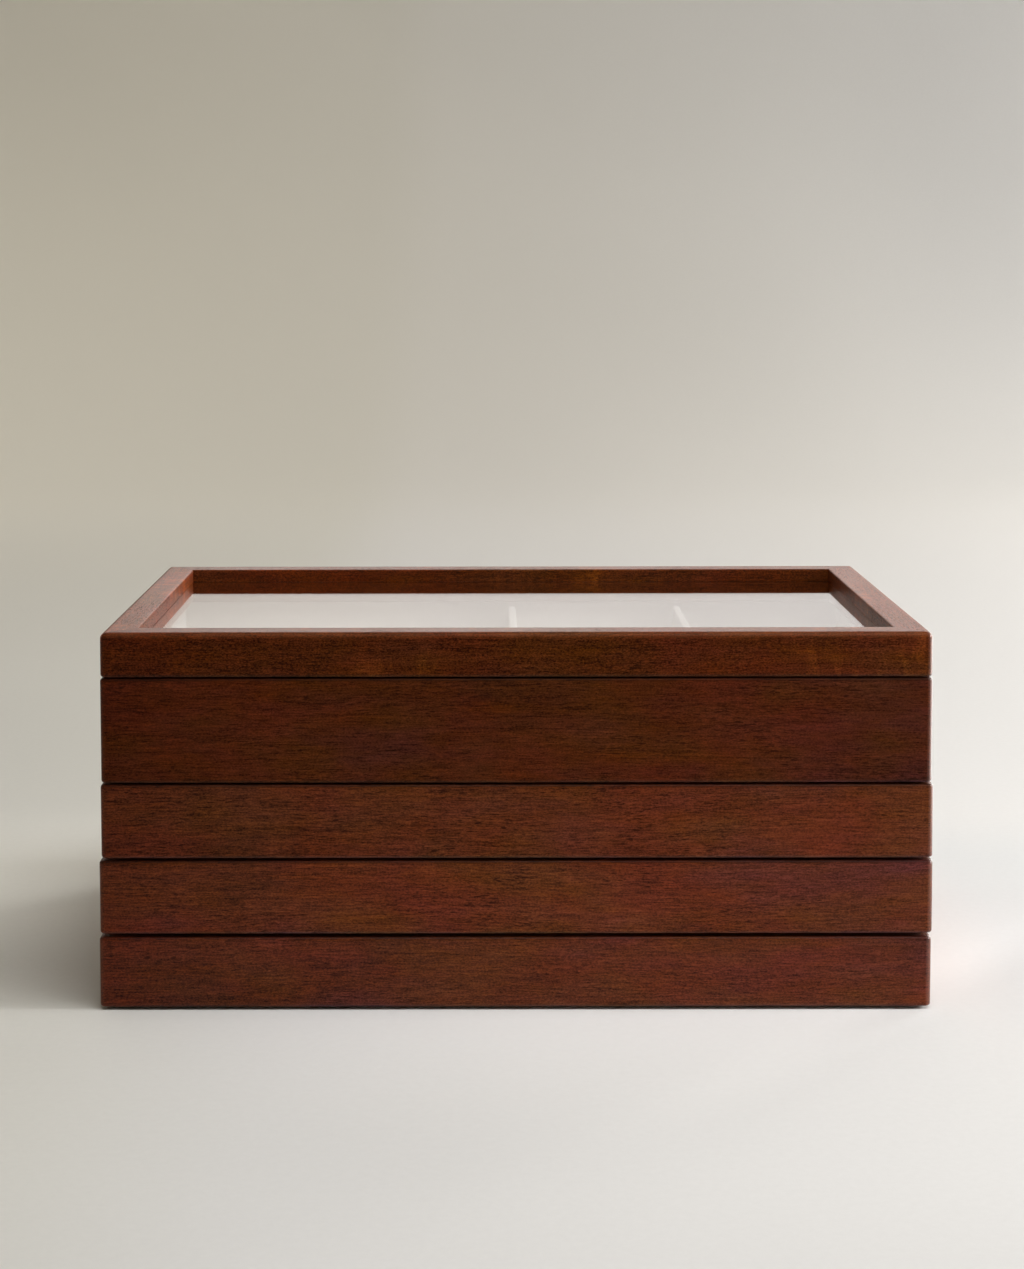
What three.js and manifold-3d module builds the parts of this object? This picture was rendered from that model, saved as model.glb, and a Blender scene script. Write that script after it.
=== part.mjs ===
// Wooden jewelry box: a glazed lid hinged to a deep top tray, which stands on
// three more trays. Millimetres, +X right, +Y to the back, +Z up.
// Origin: centre of the footprint, on the surface the box stands on.

import * as THREE from 'three';
import { mergeVertices } from 'three/addons/utils/BufferGeometryUtils.js';
import Module from 'manifold-3d';

const wasm = await Module();
wasm.setup();

// ---- driving dimensions -------------------------------------------------
const DEPTH = 170;              // outside depth of every layer
const BOARD = 7;                // thickness of the tray boards
const CORNER = 2.0;             // radius of the upright corners
const MITRE_GAP = 0.04;         // each board stops this short of the mitre plane

const FOOT_HEIGHT = 1.0;
const FOOT_RADIUS = 8;
const FOOT_INSET = 15;          // foot centre from the outside faces

// The layers, bottom up: outside width, lower and upper edges of the boards, and
// how far the layer sits off the centre line, as stacked by hand.
const BOTTOM = { width: 281.3, z: [1.0, 25.0], shift: [-0.13, 0.0] };
const THIRD = { width: 281.3, z: [26.2, 51.25], shift: [0.13, 0.1] };
const SECOND = { width: 280.4, z: [52.15, 77.3], shift: [0.43, 0.0] };
const TOP = { width: 279.5, z: [77.9, 113.4], shift: [0.26, 0.0] };
const LID = { width: 279.2, z: [113.8, 128.85], shift: [0.26, 0.0] };

const ARRIS_TOP = 1.1;          // rounded top outer edge of a tray board
const ARRIS_BOTTOM = 0.9;       // rounded bottom outer edge
const ARRIS_INNER = 0.5;        // top inner edge

const REBATE_WIDTH = 3.1;       // rebate for the base panel
const REBATE_HEIGHT = 3.1;
const BASE_THICK = 3.0;
const BASE_CLEAR = 0.1;
const STEP_DEPTH = 2.0;         // the base's step drops this far into the tray below
const STEP_CLEAR = 0.8;         // sideways play of the step in the lining

const LINER_WALL = 0.9;
const LINER_FLOOR = 0.8;
const LINER_CLEAR = 0.1;
const DIVIDER = 3.0;            // thickness of a covered divider
const TOP_DIVIDER_DROP = 1.6;   // divider top below the board top, top tray
const TRAY_DIVIDER_DROP = 2.2;  // the same in the lower trays
const TOP_CENTRE_DIVIDER_X = 0.4;
const TOP_RIGHT_DIVIDER_X = 66.8;
const BOTTOM_DIVIDER_X = 66;
const THIRD_DIVIDER_X = 44.5;
const CROSS_DIVIDER_Y = 0;

const LID_RAIL = 11.5;          // width of the lid rails, seen from above
const LID_ARRIS = 2.2;
const LID_LIP = 4.9;            // height of wood above the glass
const LID_LOWER = 7.5;          // rail width below the glass
const GLASS_THICK = 2.0;
const GLASS_CLEAR = 0.6;
const BEAD_WIDTH = 3.7;

const ROLL_COUNT = 8;
const ROLL_HEIGHT = 13.5;
const PAD_CARD = 3.0;

const HINGE_X = 84;
const HINGE_LENGTH = 24;
const HINGE_BEHIND = 1.0;       // pin axis behind the back face
const BARREL_RADIUS = 1.5;
const BARREL_CLEAR = 0.3;
const LEAF_THICK = 0.8;
const LEAF_WIDTH = 5.9;
const LEAF_CLEAR = 0.1;
const BORE_RADIUS = 0.78;
const PIN_RADIUS = 0.7;
const SCREW_X = 7.5;            // screws each side of the hinge's middle
const SCREW_IN = 3.3;           // screw centre in from the back face
const SCREW_HEAD = 1.55;
const SCREW_SHANK = 0.75;
const SCREW_LENGTH = 6.2;

const BEHIND = HINGE_BEHIND + BARREL_RADIUS;   // what stands out at the back

// ---- finishes -----------------------------------------------------------
const wood = () => new THREE.MeshStandardMaterial({ color: 0x5a2c14, roughness: 0.42, metalness: 0 });
const panel = () => new THREE.MeshStandardMaterial({ color: 0x4a2a18, roughness: 0.7, metalness: 0 });
const fabric = () => new THREE.MeshStandardMaterial({ color: 0xe9e1d6, roughness: 0.95, metalness: 0 });
const clear = () => new THREE.MeshStandardMaterial({ color: 0xeef4f2, roughness: 0.03, metalness: 0, transparent: true, opacity: 0.3 });
const brass = () => new THREE.MeshStandardMaterial({ color: 0xb08d4a, roughness: 0.35, metalness: 1 });
const felt = () => new THREE.MeshStandardMaterial({ color: 0x2a211c, roughness: 1, metalness: 0 });

// ---- solids -------------------------------------------------------------
function toSolid(geometry) {
  const bare = geometry.clone();
  bare.deleteAttribute('normal');
  bare.deleteAttribute('uv');
  const merged = mergeVertices(bare, 1e-4);
  return new wasm.Manifold(new wasm.Mesh({
    numProp: 3,
    vertProperties: new Float32Array(merged.attributes.position.array),
    triVerts: new Uint32Array(merged.index.array),
  }));
}

function toGeometry(solid) {
  const mesh = solid.getMesh();
  const geometry = new THREE.BufferGeometry();
  geometry.setAttribute('position', new THREE.BufferAttribute(new Float32Array(mesh.vertProperties), 3));
  geometry.setIndex(new THREE.BufferAttribute(new Uint32Array(mesh.triVerts), 1));
  geometry.computeVertexNormals();
  return geometry;
}

const shapeOf = (points) => new THREE.Shape(points.map(([a, b]) => new THREE.Vector2(a, b)));

// outline in plan, raised from z0 to z1
function upright(points, z0, z1) {
  const g = new THREE.ExtrudeGeometry(shapeOf(points), { depth: z1 - z0, bevelEnabled: false });
  return g.translate(0, 0, z0);
}

// section in Y and Z, run along X from x0 to x1
function alongX(points, x0, x1) {
  const g = new THREE.ExtrudeGeometry(shapeOf(points), { depth: x1 - x0, bevelEnabled: false });
  g.applyMatrix4(new THREE.Matrix4().set(0, 0, 1, x0, 1, 0, 0, 0, 0, 1, 0, 0, 0, 0, 0, 1));
  return g;
}

// section in Y and Z as a ring with a round hole, run along X
function barrel(y, z, outer, inner, x0, x1, sides = 20) {
  const s = new THREE.Shape();
  const h = new THREE.Path();
  for (let i = 0; i < sides; i++) {
    const a = (i / sides) * Math.PI * 2;
    const b = -a;
    const f = i ? 'lineTo' : 'moveTo';
    s[f](y + outer * Math.cos(a), z + outer * Math.sin(a));
    h[f](y + inner * Math.cos(b), z + inner * Math.sin(b));
  }
  s.closePath();
  h.closePath();
  s.holes.push(h);
  const g = new THREE.ExtrudeGeometry(s, { depth: x1 - x0, bevelEnabled: false });
  g.applyMatrix4(new THREE.Matrix4().set(0, 0, 1, x0, 1, 0, 0, 0, 0, 1, 0, 0, 0, 0, 0, 1));
  return g;
}

function block(x0, x1, y0, y1, z0, z1) {
  return new THREE.BoxGeometry(x1 - x0, y1 - y0, z1 - z0)
    .translate((x0 + x1) / 2, (y0 + y1) / 2, (z0 + z1) / 2);
}

function arc(cx, cy, r, from, to, steps) {
  const out = [];
  for (let i = 0; i <= steps; i++) {
    const a = THREE.MathUtils.degToRad(from + ((to - from) * i) / steps);
    out.push([cx + r * Math.cos(a), cy + r * Math.sin(a)]);
  }
  return out;
}

// Plan outline of the board that faces -Y on a box of the given length and
// half depth: mitred ends, and its half of each rounded upright corner.
function boardPlan(length, half, thick) {
  const x = length / 2;
  const c = CORNER;
  const g = MITRE_GAP;
  const left = arc(-x + c, -half + c, c, 225, 270, 3);
  const right = arc(x - c, -half + c, c, 270, 315, 3);
  left[0][0] += g;
  right[right.length - 1][0] -= g;
  return [...left, ...right, [x - thick - g, -half + thick], [-x + thick + g, -half + thick]];
}

// Section of a tray board that faces -Y.
function traySection(half, [z0, z1]) {
  const y = (u) => -half + u;
  return [
    [y(ARRIS_BOTTOM), z0],
    [y(BOARD - REBATE_WIDTH), z0],
    [y(BOARD - REBATE_WIDTH), z0 + REBATE_HEIGHT],
    [y(BOARD), z0 + REBATE_HEIGHT],
    ...arc(y(BOARD - ARRIS_INNER), z1 - ARRIS_INNER, ARRIS_INNER, 0, 90, 2),
    ...arc(y(ARRIS_TOP), z1 - ARRIS_TOP, ARRIS_TOP, 90, 180, 3),
    ...arc(y(ARRIS_BOTTOM), z0 + ARRIS_BOTTOM, ARRIS_BOTTOM, 180, 270, 3).slice(0, -1),
  ];
}

// Section of a lid rail that faces -Y: full width above the glass, narrower
// below it.
function lidSection(half, [z0, z1]) {
  const y = (u) => -half + u;
  const ceiling = z1 - LID_LIP;
  return [
    [y(ARRIS_BOTTOM), z0],
    [y(LID_LOWER), z0],
    [y(LID_LOWER), ceiling],
    [y(LID_RAIL), ceiling],
    ...arc(y(LID_RAIL - 0.6), z1 - 0.6, 0.6, 0, 90, 2),
    ...arc(y(LID_ARRIS), z1 - LID_ARRIS, LID_ARRIS, 90, 180, 5),
    ...arc(y(ARRIS_BOTTOM), z0 + ARRIS_BOTTOM, ARRIS_BOTTOM, 180, 270, 3).slice(0, -1),
  ];
}

const TURNS = { front: 0, right: 90, back: 180, left: 270 };

function boardSolid(side, sectionOf, layer, thick) {
  const across = side === 'front' || side === 'back';
  const length = across ? layer.width : DEPTH;
  const half = (across ? DEPTH : layer.width) / 2;
  const run = alongX(sectionOf(half, layer.z), -length / 2 - 1, length / 2 + 1);
  const plan = upright(boardPlan(length, half, thick), layer.z[0] - 1, layer.z[1] + 1);
  const turn = THREE.MathUtils.degToRad(TURNS[side]);
  return toSolid(run.rotateZ(turn)).intersect(toSolid(plan.rotateZ(turn)));
}

// ---- hinges -------------------------------------------------------------
const backFace = DEPTH / 2;
const axisY = backFace + HINGE_BEHIND;
const axisZ = (TOP.z[1] + LID.z[0]) / 2;
const screwSpots = [];
for (const side of [-1, 1]) for (const s of [-1, 1]) screwSpots.push(side * HINGE_X + s * SCREW_X);

// A countersunk screw, head at z = 0 and point down.
function screwGeometry() {
  const g = new THREE.LatheGeometry([
    new THREE.Vector2(0, -SCREW_LENGTH),
    new THREE.Vector2(SCREW_SHANK * 0.55, -SCREW_LENGTH + 1.6),
    new THREE.Vector2(SCREW_SHANK, -SCREW_LENGTH + 2.6),
    new THREE.Vector2(SCREW_SHANK, -0.85),
    new THREE.Vector2(SCREW_HEAD, -0.06),
    new THREE.Vector2(SCREW_HEAD - 0.06, 0),
    new THREE.Vector2(0, 0),
  ], 16).rotateX(Math.PI / 2);
  const slot = block(-2, 2, -0.2, 0.2, -0.32, 1);
  return toGeometry(toSolid(g).subtract(toSolid(slot)));
}

// The hole a screw passes through in leaf and wood, with room all round.
function screwHole() {
  const c = 0.1;
  return new THREE.LatheGeometry([
    new THREE.Vector2(0, -SCREW_LENGTH - 0.2),
    new THREE.Vector2(SCREW_SHANK + c, -SCREW_LENGTH - 0.2),
    new THREE.Vector2(SCREW_SHANK + c, -0.9),
    new THREE.Vector2(SCREW_HEAD + c, -0.08),
    new THREE.Vector2(SCREW_HEAD + c, 1),
    new THREE.Vector2(0, 1),
  ], 16).rotateX(Math.PI / 2);
}

// Takes the leaf pockets, the barrels' grooves and the screw holes out of the
// tray's back board (up = 1) or the lid's back rail (up = -1).
function cutForHinges(solid, up) {
  const face = up > 0 ? TOP.z[1] : LID.z[0];
  let out = solid;
  for (const side of [-1, 1]) {
    const x0 = side * HINGE_X - HINGE_LENGTH / 2 - LEAF_CLEAR;
    const x1 = side * HINGE_X + HINGE_LENGTH / 2 + LEAF_CLEAR;
    const deep = face - up * (LEAF_THICK + LEAF_CLEAR);
    const high = face + up * 2;
    const z = [Math.min(deep, high), Math.max(deep, high)];
    out = out.subtract(toSolid(block(x0, x1, backFace - LEAF_WIDTH - LEAF_CLEAR, backFace + 3, z[0], z[1])));
    const groove = new THREE.CylinderGeometry(BARREL_RADIUS + BARREL_CLEAR, BARREL_RADIUS + BARREL_CLEAR, x1 - x0, 24)
      .rotateZ(Math.PI / 2).translate((x0 + x1) / 2, axisY, axisZ);
    out = out.subtract(toSolid(groove));
  }
  for (const x of screwSpots) {
    const hole = screwHole();
    if (up < 0) hole.rotateX(Math.PI);
    hole.translate(x, backFace - SCREW_IN, face);
    out = out.subtract(toSolid(hole));
  }
  return out;
}

// One leaf with its share of the barrel. The tray's leaf has the two outer
// knuckles, the lid's has the middle one.
function leafGeometry(side, up) {
  const face = up > 0 ? TOP.z[1] : LID.z[0];
  const mid = side * HINGE_X;
  const h = HINGE_LENGTH / 2;
  const third = HINGE_LENGTH / 3;
  const gap = 0.1;
  const z = up > 0 ? [face - LEAF_THICK, face - 0.02] : [face + 0.02, face + LEAF_THICK];
  let leaf = toSolid(block(mid - h, mid + h, backFace - LEAF_WIDTH, backFace - BARREL_RADIUS + HINGE_BEHIND - 0.3, z[0], z[1]));
  const spans = up > 0
    ? [[mid - h, mid - third / 2 - gap], [mid + third / 2 + gap, mid + h]]
    : [[mid - third / 2 + gap, mid + third / 2 - gap]];
  const bore = new THREE.CylinderGeometry(BORE_RADIUS, BORE_RADIUS, HINGE_LENGTH + 4, 20)
    .rotateZ(Math.PI / 2).translate(mid, axisY, axisZ);
  for (const [a, b] of spans) {
    leaf = leaf.add(toSolid(block(a, b, backFace - 3, axisY, z[0], z[1])));
    leaf = leaf.add(toSolid(barrel(axisY, axisZ, BARREL_RADIUS, BORE_RADIUS - 0.2, a, b)));
  }
  leaf = leaf.subtract(toSolid(bore));
  for (const s of [-1, 1]) {
    const hole = screwHole();
    if (up < 0) hole.rotateX(Math.PI);
    hole.translate(mid + s * SCREW_X, backFace - SCREW_IN, face);
    leaf = leaf.subtract(toSolid(hole));
  }
  return toGeometry(leaf);
}

// Hinge pin with a small domed head at each end.
function pinGeometry(side) {
  const h = HINGE_LENGTH / 2;
  return new THREE.LatheGeometry([
    new THREE.Vector2(0, -h - 0.75),
    new THREE.Vector2(0.6, -h - 0.65),
    new THREE.Vector2(1.05, -h - 0.4),
    new THREE.Vector2(1.05, -h - 0.15),
    new THREE.Vector2(PIN_RADIUS, -h - 0.15),
    new THREE.Vector2(PIN_RADIUS, h + 0.15),
    new THREE.Vector2(1.05, h + 0.15),
    new THREE.Vector2(1.05, h + 0.4),
    new THREE.Vector2(0.6, h + 0.65),
    new THREE.Vector2(0, h + 0.75),
  ], 20).rotateZ(Math.PI / 2).translate(side * HINGE_X, axisY, axisZ);
}

// ---- tray parts ---------------------------------------------------------
const innerY = DEPTH / 2 - BOARD;
const linedY = innerY - LINER_CLEAR - LINER_WALL;
const innerX = (layer) => layer.width / 2 - BOARD;
const linedX = (layer) => innerX(layer) - LINER_CLEAR - LINER_WALL;

function roundedPlan(x, y, r) {
  return [
    ...arc(x - r, y - r, r, 0, 90, 2), ...arc(-x + r, y - r, r, 90, 180, 2),
    ...arc(-x + r, -y + r, r, 180, 270, 2), ...arc(x - r, -y + r, r, 270, 360, 2),
  ];
}

// The base panel in its rebate. Its step drops into the lining of the layer below.
function baseGeometry(layer, below) {
  const z0 = layer.z[0];
  const x = innerX(layer) + REBATE_WIDTH - BASE_CLEAR;
  const y = innerY + REBATE_WIDTH - BASE_CLEAR;
  let solid = toSolid(block(-x, x, -y, y, z0, z0 + BASE_THICK));
  if (below) {
    const plan = roundedPlan(linedX(layer) - STEP_CLEAR, linedY - STEP_CLEAR, 1.5);
    solid = solid.add(toSolid(upright(plan, z0 - STEP_DEPTH, z0 + 0.5)));
  }
  return toGeometry(solid);
}

// The lining stands just proud of the boards and carries the layer above.
function linerGeometry(layer, above) {
  const x = innerX(layer) - LINER_CLEAR;
  const y = innerY - LINER_CLEAR;
  const bottom = layer.z[0] + REBATE_HEIGHT + 0.05;
  const rim = above.z[0] - 0.05;
  const outer = toSolid(block(-x, x, -y, y, bottom, rim));
  const hollow = toSolid(block(-linedX(layer), linedX(layer), -linedY, linedY, bottom + LINER_FLOOR, rim + 5));
  return toGeometry(outer.subtract(hollow));
}

const floorTop = (layer) => layer.z[0] + REBATE_HEIGHT + 0.05 + LINER_FLOOR;

function dividerAcrossX(x, layer, drop) {
  return block(x - DIVIDER / 2, x + DIVIDER / 2, -linedY + 0.1, linedY - 0.1,
    floorTop(layer) + 0.05, layer.z[1] - drop);
}

function ringPadGeometry(x0, x1, layer) {
  const z = floorTop(layer) + 0.05;
  const y0 = -linedY + 0.6;
  const y1 = linedY - 0.6;
  const pitch = (y1 - y0) / ROLL_COUNT;
  const pts = [[y0, z], [y1, z]];
  const r = pitch / 2;
  for (let i = ROLL_COUNT - 1; i >= 0; i--) {
    const c = y0 + pitch * (i + 0.5);
    for (let k = 0; k <= 6; k++) {
      const a = (k / 6) * Math.PI;
      if (i < ROLL_COUNT - 1 && k === 0) continue;
      pts.push([c + r * Math.cos(a), z + PAD_CARD + (ROLL_HEIGHT - PAD_CARD) * Math.sin(a) ** 0.8]);
    }
  }
  return alongX(pts, x0, x1);
}

// ---- assembly -----------------------------------------------------------
const box = new THREE.Group();
box.name = 'jewelry_box';
box.position.set(0, -BEHIND / 2, 0);

function put(group, name, geometry, material) {
  const mesh = new THREE.Mesh(geometry, material);
  mesh.name = name;
  group.add(mesh);
  return mesh;
}

function addTray(name, layer, below, above) {
  const group = new THREE.Group();
  group.position.set(layer.shift[0], layer.shift[1], 0);
  box.add(group);
  for (const side of Object.keys(TURNS)) {
    let solid = boardSolid(side, traySection, layer, BOARD);
    if (above === LID && side === 'back') solid = cutForHinges(solid, 1);
    put(group, `${name}_${side}`, toGeometry(solid), wood());
  }
  put(group, `${name}_base`, baseGeometry(layer, below), panel());
  put(group, `${name}_liner`, linerGeometry(layer, above), fabric());
  return group;
}

// bottom tray
const bottom = addTray('bottom_tray', BOTTOM, null, THIRD);
put(bottom, 'bottom_tray_divider', dividerAcrossX(BOTTOM_DIVIDER_X, BOTTOM, TRAY_DIVIDER_DROP), fabric());
for (const [sx, sideX] of [[-1, 'left'], [1, 'right']]) {
  for (const [sy, sideY] of [[-1, 'front'], [1, 'back']]) {
    const foot = new THREE.CylinderGeometry(FOOT_RADIUS, FOOT_RADIUS, FOOT_HEIGHT, 32).rotateX(Math.PI / 2)
      .translate(sx * (BOTTOM.width / 2 - FOOT_INSET), sy * (DEPTH / 2 - FOOT_INSET), FOOT_HEIGHT / 2);
    put(bottom, `foot_${sideY}_${sideX}`, foot, felt());
  }
}

// third tray
const third = addTray('third_tray', THIRD, BOTTOM, SECOND);
put(third, 'third_tray_divider_left', dividerAcrossX(-THIRD_DIVIDER_X, THIRD, TRAY_DIVIDER_DROP), fabric());
put(third, 'third_tray_divider_right', dividerAcrossX(THIRD_DIVIDER_X, THIRD, TRAY_DIVIDER_DROP), fabric());

// second tray
const second = addTray('second_tray', SECOND, THIRD, TOP);
put(second, 'second_tray_divider_centre', dividerAcrossX(0, SECOND, TRAY_DIVIDER_DROP), fabric());
put(second, 'second_tray_divider_cross',
  block(DIVIDER / 2 + 0.1, linedX(SECOND) - 0.1, CROSS_DIVIDER_Y - DIVIDER / 2, CROSS_DIVIDER_Y + DIVIDER / 2,
    floorTop(SECOND) + 0.05, SECOND.z[1] - TRAY_DIVIDER_DROP), fabric());
put(second, 'second_tray_ring_pad', ringPadGeometry(-linedX(SECOND) + 0.6, -DIVIDER / 2 - 0.6, SECOND), fabric());

// top tray
const top = addTray('top_tray', TOP, SECOND, LID);
put(top, 'top_tray_divider_centre', dividerAcrossX(TOP_CENTRE_DIVIDER_X, TOP, TOP_DIVIDER_DROP), fabric());
put(top, 'top_tray_divider_right', dividerAcrossX(TOP_RIGHT_DIVIDER_X, TOP, TOP_DIVIDER_DROP), fabric());

// lid
const lid = new THREE.Group();
lid.position.set(LID.shift[0], LID.shift[1], 0);
box.add(lid);
for (const side of Object.keys(TURNS)) {
  let solid = boardSolid(side, lidSection, LID, LID_RAIL);
  if (side === 'back') solid = cutForHinges(solid, -1);
  put(lid, `lid_${side}_rail`, toGeometry(solid), wood());
}
const seat = LID.z[1] - LID_LIP - 0.03;
const glassX = LID.width / 2 - LID_LOWER - GLASS_CLEAR;
const glassY = DEPTH / 2 - LID_LOWER - GLASS_CLEAR;
put(lid, 'lid_glass', block(-glassX, glassX, -glassY, glassY, seat - GLASS_THICK, seat), clear());
for (const side of Object.keys(TURNS)) {
  const across = side === 'front' || side === 'back';
  const length = (across ? LID.width : DEPTH) - 2 * (LID_LOWER + 0.1);
  const half = (across ? DEPTH : LID.width) / 2 - LID_LOWER - 0.1;
  const inner = BEAD_WIDTH;
  const plan = [[-length / 2 + 0.06, -half], [length / 2 - 0.06, -half],
    [length / 2 - inner - 0.06, -half + inner], [-length / 2 + inner + 0.06, -half + inner]];
  const bead = upright(plan, LID.z[0] + 0.1, seat - GLASS_THICK - 0.05)
    .rotateZ(THREE.MathUtils.degToRad(TURNS[side]));
  put(lid, `lid_bead_${side}`, bead, wood());
}

// hinges and their screws
for (const [sign, word] of [[-1, 'left'], [1, 'right']]) {
  put(top, `hinge_${word}_tray_leaf`, leafGeometry(sign, 1), brass());
  put(lid, `hinge_${word}_lid_leaf`, leafGeometry(sign, -1), brass());
  put(top, `hinge_${word}_pin`, pinGeometry(sign), brass());
  for (const [s, hand] of [[-1, 'a'], [1, 'b']]) {
    const x = sign * HINGE_X + s * SCREW_X;
    const down = screwGeometry();
    down.translate(x, backFace - SCREW_IN, TOP.z[1] - 0.02);
    put(top, `screw_${word}_tray_${hand}`, down, brass());
    const up = screwGeometry().rotateX(Math.PI);
    up.translate(x, backFace - SCREW_IN, LID.z[0] + 0.02);
    put(lid, `screw_${word}_lid_${hand}`, up, brass());
  }
}

export default box;
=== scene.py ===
# Wooden jewelry box: finishes, soft parts, floor, light and camera around the
# fixed frame. Metres, +X right, +Y to the hinge side, +Z up.
import math
import random

import bpy
from mathutils import Matrix, Vector, noise


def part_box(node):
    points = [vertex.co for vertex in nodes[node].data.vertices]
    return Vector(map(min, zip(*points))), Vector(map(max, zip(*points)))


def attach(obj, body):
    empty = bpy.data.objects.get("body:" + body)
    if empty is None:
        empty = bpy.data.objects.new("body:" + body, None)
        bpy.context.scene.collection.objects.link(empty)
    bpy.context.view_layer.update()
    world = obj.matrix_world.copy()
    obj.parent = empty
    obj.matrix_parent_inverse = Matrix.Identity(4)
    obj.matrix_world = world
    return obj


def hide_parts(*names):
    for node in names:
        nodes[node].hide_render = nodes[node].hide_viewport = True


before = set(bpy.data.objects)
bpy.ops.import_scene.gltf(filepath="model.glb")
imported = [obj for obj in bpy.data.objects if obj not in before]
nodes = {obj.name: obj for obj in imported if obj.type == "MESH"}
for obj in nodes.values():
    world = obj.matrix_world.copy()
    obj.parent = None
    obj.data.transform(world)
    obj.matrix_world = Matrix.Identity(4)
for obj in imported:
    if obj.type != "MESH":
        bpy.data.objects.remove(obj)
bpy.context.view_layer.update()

MM = 0.001
scene = bpy.context.scene


# ---------------------------------------------------------------- materials
class Net:
    """Short calls to lay out a node tree."""

    def __init__(self, name):
        self.mat = bpy.data.materials.new(name)
        self.mat.use_nodes = True
        self.nt = self.mat.node_tree
        self.nt.nodes.clear()
        self.out = self.nt.nodes.new("ShaderNodeOutputMaterial")

    def add(self, kind, inputs=None, **props):
        n = self.nt.nodes.new(kind)
        for k, v in props.items():
            setattr(n, k, v)
        for k, v in (inputs or {}).items():
            s = n.inputs[k]
            if isinstance(v, bpy.types.NodeSocket):
                self.nt.links.new(v, s)
            else:
                s.default_value = v
        return n

    def math(self, op, a, b=0.0, c=0.0, clamp=False):
        return self.add("ShaderNodeMath", {0: a, 1: b, 2: c}, operation=op, use_clamp=clamp).outputs[0]

    def vec(self, op, a, b=(0, 0, 0)):
        return self.add("ShaderNodeVectorMath", {0: a, 1: b}, operation=op).outputs[0]

    def scaled(self, v, k):
        return self.vec("MULTIPLY", v, k)

    def noise(self, v, scale=1.0, detail=2.0, rough=0.5, lac=2.0, distort=0.0):
        return self.add("ShaderNodeTexNoise", {"Vector": v, "Scale": scale, "Detail": detail,
                        "Roughness": rough, "Lacunarity": lac, "Distortion": distort}).outputs["Fac"]

    def remap(self, v, a, b, c=0.0, d=1.0, smooth=False):
        n = self.add("ShaderNodeMapRange", {"Value": v, "From Min": a, "From Max": b, "To Min": c, "To Max": d})
        if smooth:
            n.interpolation_type = "SMOOTHSTEP"
        return n.outputs["Result"]

    def mix(self, f, a, b, mode="MIX"):
        n = self.add("ShaderNodeMix", data_type="RGBA", blend_type=mode)
        for i, v in ((0, f), (6, a), (7, b)):
            if isinstance(v, bpy.types.NodeSocket):
                self.nt.links.new(v, n.inputs[i])
            else:
                n.inputs[i].default_value = v if i == 0 else (*v, 1.0)[:4]
        return n.outputs[2]

    def ramp(self, v, stops):
        n = self.add("ShaderNodeValToRGB", {"Fac": v})
        cr = n.color_ramp
        while len(cr.elements) < len(stops):
            cr.elements.new(0.5)
        for e, (p, c) in zip(cr.elements, stops):
            e.position = p
            e.color = (*c, 1.0)
        return n.outputs["Color"]

    def bump(self, height, distance, strength=1.0, normal=None):
        ins = {"Height": height, "Distance": distance, "Strength": strength}
        if normal is not None:
            ins["Normal"] = normal
        return self.add("ShaderNodeBump", ins).outputs["Normal"]

    def finish(self, shader):
        self.nt.links.new(shader, self.out.inputs["Surface"])
        return self.mat


def object_point(net, seed, along):
    """Frame coordinates turned so that local X runs with the grain."""
    rnd = random.Random(seed)
    tc = net.add("ShaderNodeTexCoord").outputs["Object"]
    turn = (0, 0, -math.pi / 2) if along == "Y" else (0, 0, 0)
    return net.add("ShaderNodeMapping", {"Vector": tc, "Rotation": turn,
                   "Location": (rnd.uniform(-3, 3), rnd.uniform(-3, 3), rnd.uniform(-3, 3))}).outputs[0]


RED = (0.150, 0.0300, 0.0088)
BROWN = (0.138, 0.0350, 0.0090)
PLUM = (0.124, 0.0300, 0.0150)


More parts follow.
